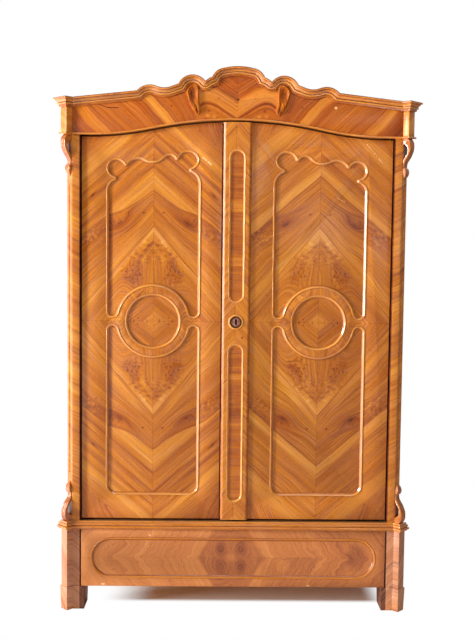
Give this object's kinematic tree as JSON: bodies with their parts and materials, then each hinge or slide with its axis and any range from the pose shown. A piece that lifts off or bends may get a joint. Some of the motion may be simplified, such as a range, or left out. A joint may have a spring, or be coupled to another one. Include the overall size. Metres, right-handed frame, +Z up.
{
  "type": "kas cupboard",
  "caption": "Veneered wardrobe cupboard: arched panelled doors meeting under a cover strip with a lock, a long drawer below, chamfered corners with scrolls, and a scalloped crown.",
  "frame": {"origin": "on the floor, at the middle of the part's width and depth", "axes": "+X to the right as seen from the front, +Y from the front to the back, +Z up"},
  "size_m": [1.4822, 0.6006, 2.216],
  "materials": {
    "door_veneer": "figured orange-brown veneer, french polished, glossy",
    "drawer_veneer": "figured veneer with a darker burl, french polished, glossy",
    "frieze_veneer": "figured veneer laid in diagonal strips, french polished",
    "stile_veneer": "straight-grained cross-banded veneer, french polished",
    "moulding_wood": "solid moulding, dark red-brown, polished",
    "carved_wood": "carved solid wood, polished, dark in the hollows",
    "side_wood": "plain straight-grained wood, polished",
    "frame_wood": "plain hardwood, waxed",
    "pine": "old softwood, sawn and planed, unfinished",
    "brass": "tarnished, pinkish brown",
    "iron": "forged and filed iron, dark"
  },
  "bodies": {
    "carcass": {"back_muntins": "pine", "back_panels": "pine", "back_rails": "pine", "back_stiles": "pine", "base_back": "pine", "base_front_post_left": "stile_veneer", "base_front_post_right": "stile_veneer", "base_rear_posts": "frame_wood", "base_sides": "side_wood", "carcass_floor": "frame_wood", "carved_drops": "carved_wood", "clothes_rail": "frame_wood", "corner_stile_left": "stile_veneer", "corner_stile_right": "stile_veneer", "crown_corner_left": "moulding_wood", "crown_corner_right": "moulding_wood", "crown_front": "moulding_wood", "drawer_runners": "pine", "frieze_band": "moulding_wood", "frieze_block_left": "stile_veneer", "frieze_block_right": "stile_veneer", "frieze_board": "frieze_veneer", "front_foot_left": "side_wood", "front_foot_right": "side_wood", "hat_shelf": "pine", "head_rail": "frame_wood", "lower_brackets": "carved_wood", "pivot_sockets": "iron", "rail_sockets": "frame_wood", "rear_feet": "frame_wood", "shelf_cleats": "frame_wood", "side_panel_left": "side_wood", "side_panel_right": "side_wood", "top_board": "pine", "upper_brackets": "carved_wood", "waist_moulding_front": "moulding_wood", "waist_moulding_sides": "moulding_wood"},
    "drawer": {"drawer_front": "drawer_veneer", "drawer_bead": "moulding_wood", "drawer_sides": "pine", "drawer_back": "pine", "drawer_bottom": "pine"},
    "left_door": {"left_door_board": "door_veneer", "left_door_frame": "door_veneer", "left_door_beads": "moulding_wood", "left_door_pivots": "iron", "lock_keep": "iron", "bolt_guides": "iron"},
    "right_door": {"right_door_board": "door_veneer", "right_door_frame": "door_veneer", "right_door_beads": "moulding_wood", "right_door_pivots": "iron", "cover_strip": "stile_veneer", "strip_beads": "moulding_wood", "escutcheon_ring": "moulding_wood", "keyhole_plate": "brass", "lock_case": "iron"},
    "lock_bolt": {"lock_bolt": "iron"},
    "top_bolt": {"top_bolt": "iron"},
    "bottom_bolt": {"bottom_bolt": "iron"}
  },
  "joints": [
    {"name": "drawer_slide", "type": "slide", "parent": "carcass", "child": "drawer", "axis": [0, -1, 0], "range_m": [0, 0.4]},
    {"name": "left_door_hinge", "type": "hinge", "parent": "carcass", "child": "left_door", "pos_m": [-0.617, -0.22772, 1.157], "axis": [0, 0, -1], "range_deg": [0, 100]},
    {"name": "right_door_hinge", "type": "hinge", "parent": "carcass", "child": "right_door", "pos_m": [0.617, -0.22772, 1.157], "axis": [0, 0, 1], "range_deg": [0, 100]},
    {"name": "lock_bolt_slide", "type": "slide", "parent": "right_door", "child": "lock_bolt", "axis": [-1, 0, 0], "range_m": [0, 0.014]},
    {"name": "top_bolt_slide", "type": "slide", "parent": "left_door", "child": "top_bolt", "axis": [0, 0, 1], "range_m": [0, 0.016]},
    {"name": "bottom_bolt_slide", "type": "slide", "parent": "left_door", "child": "bottom_bolt", "axis": [0, 0, -1], "range_m": [0, 0.016]}
  ]
}
